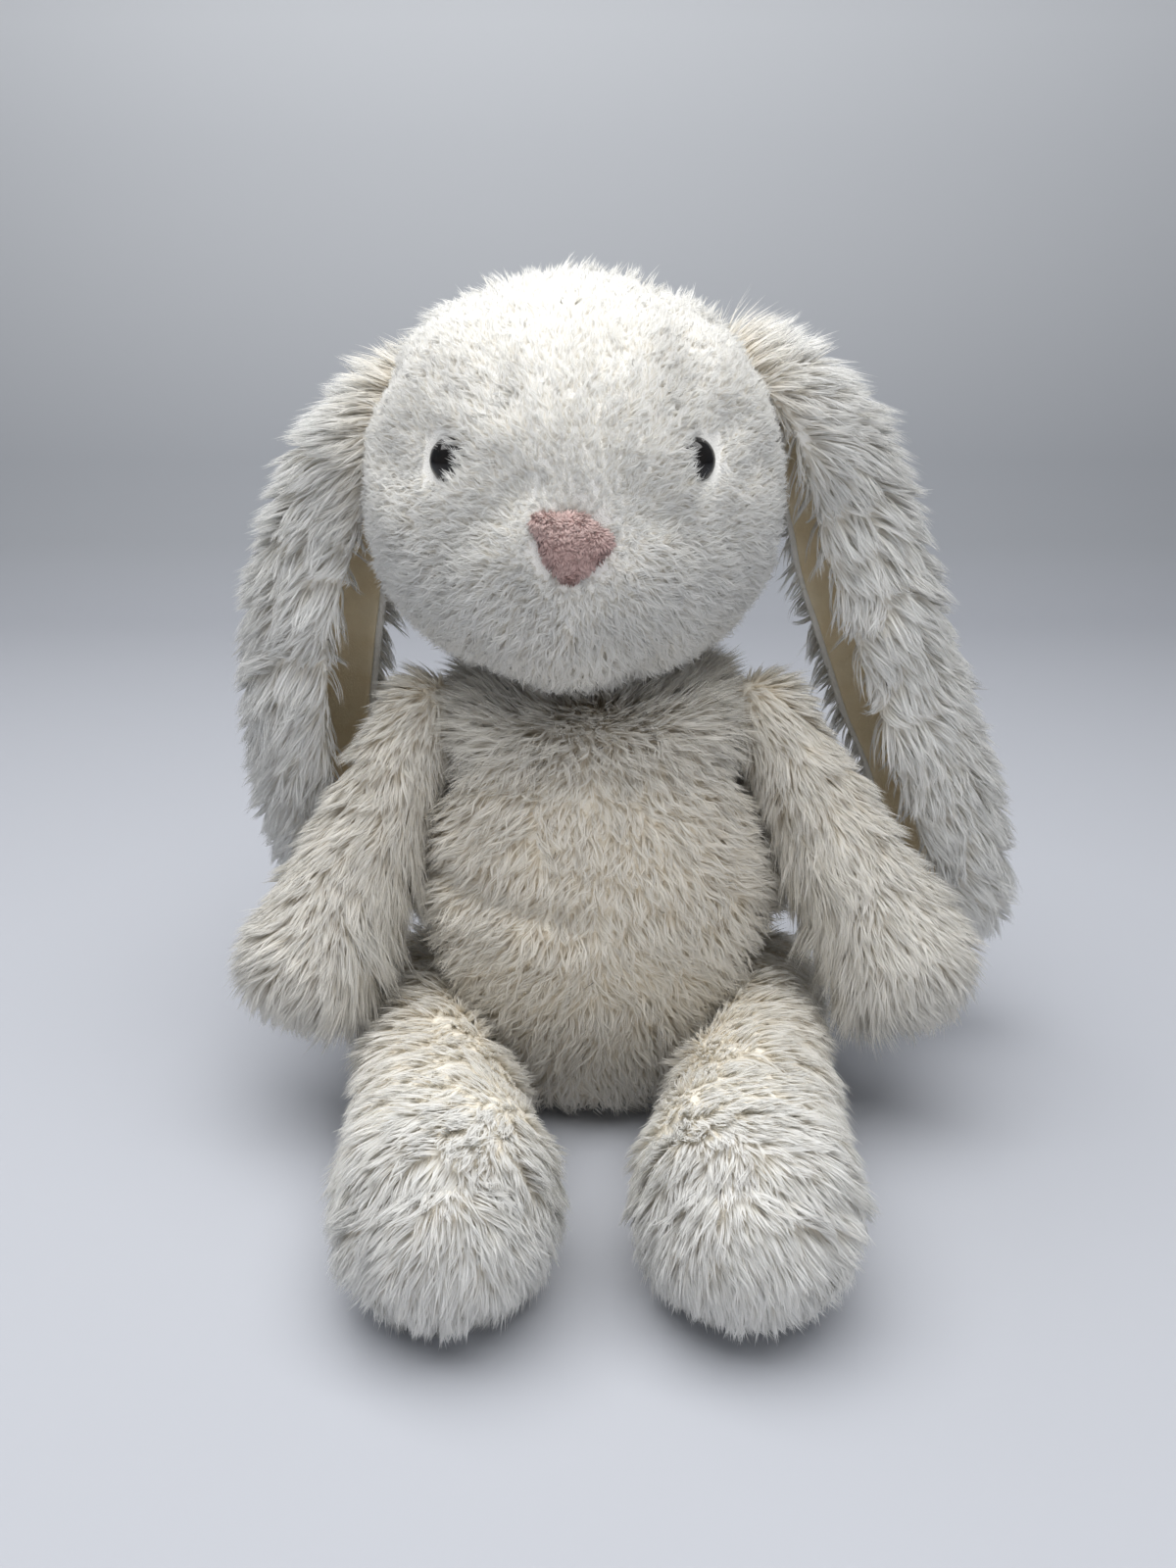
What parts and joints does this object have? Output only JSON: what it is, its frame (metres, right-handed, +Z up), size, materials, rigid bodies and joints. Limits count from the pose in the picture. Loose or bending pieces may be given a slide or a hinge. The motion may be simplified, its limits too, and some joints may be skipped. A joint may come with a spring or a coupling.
{
  "type": "stuffed bunny rabbit",
  "caption": "Seated plush rabbit with long lop ears, fluffy cream fur, a pink velvet nose and soft hinged head, ears, arms and legs.",
  "frame": {"origin": "middle of the flat patch that the body sits on, on the floor and on the body's upright axis", "axes": "+Z up, -Y where the bunny looks, +X the bunny's own left"},
  "size_m": [0.2498, 0.2303, 0.251],
  "materials": {
    "body_fur": "matte",
    "long_fur": "matte",
    "face_fur": "matte",
    "ear_lining": "matte",
    "nose_velvet": "matte",
    "eye_plastic": "gloss",
    "washer_plastic": "satin",
    "fibre_filling": "matte",
    "bead_bag": "matte",
    "label_satin": "satin",
    "seam_thread": "matte"
  },
  "bodies": {
    "torso": {"body_front_panel": "body_fur", "body_back_panel": "body_fur", "body_stuffing": "fibre_filling", "seat_bead_bag": "bead_bag", "tail_cover": "long_fur", "tail_stuffing": "fibre_filling", "care_label": "label_satin"},
    "neck": {"neck_seam": "seam_thread"},
    "head": {"face_panel": "face_fur", "head_back_panel": "long_fur", "head_stuffing": "fibre_filling", "nose_patch": "nose_velvet", "eye_left": "eye_plastic", "eye_right": "eye_plastic", "eye_washer_left": "washer_plastic", "eye_washer_right": "washer_plastic"},
    "ear_left": {"ear_left_fur": "long_fur", "ear_left_lining": "ear_lining"},
    "ear_right": {"ear_right_fur": "long_fur", "ear_right_lining": "ear_lining"},
    "arm_left": {"arm_left_cover": "body_fur", "arm_left_stuffing": "fibre_filling"},
    "arm_right": {"arm_right_cover": "body_fur", "arm_right_stuffing": "fibre_filling"},
    "leg_left": {"leg_left_cover": "body_fur", "leg_left_sole": "long_fur", "leg_left_stuffing": "fibre_filling", "foot_left_bead_bag": "bead_bag"},
    "leg_right": {"leg_right_cover": "body_fur", "leg_right_sole": "long_fur", "leg_right_stuffing": "fibre_filling", "foot_right_bead_bag": "bead_bag"}
  },
  "joints": [
    {"name": "neck_turn", "type": "hinge", "parent": "torso", "child": "neck", "pos_m": [-0.002, -0.004, 0.1415], "axis": [0, 0, 1], "range_deg": [-10, 10]},
    {"name": "neck_nod", "type": "hinge", "parent": "neck", "child": "head", "pos_m": [-0.002, -0.004, 0.1415], "axis": [1, 0, 0], "range_deg": [-3, 10]},
    {"name": "ear_left_lift", "type": "hinge", "parent": "head", "child": "ear_left", "pos_m": [0.037, 0.005, 0.233], "axis": [0, -1, 0], "range_deg": [0, 70]},
    {"name": "ear_right_lift", "type": "hinge", "parent": "head", "child": "ear_right", "pos_m": [-0.047, 0.005, 0.229], "axis": [0, 1, 0], "range_deg": [0, 70]},
    {"name": "arm_left_swing", "type": "hinge", "parent": "torso", "child": "arm_left", "pos_m": [0.039, -0.013, 0.125], "axis": [-1, 0, 0], "range_deg": [0, 90]},
    {"name": "arm_right_swing", "type": "hinge", "parent": "torso", "child": "arm_right", "pos_m": [-0.039, -0.013, 0.125], "axis": [-1, 0, 0], "range_deg": [0, 90]},
    {"name": "leg_left_swing", "type": "hinge", "parent": "torso", "child": "leg_left", "pos_m": [0.04, -0.008, 0.024], "axis": [-1, 0, 0], "range_deg": [-80, 3]},
    {"name": "leg_right_swing", "type": "hinge", "parent": "torso", "child": "leg_right", "pos_m": [-0.04, -0.008, 0.024], "axis": [-1, 0, 0], "range_deg": [-80, 3]}
  ]
}
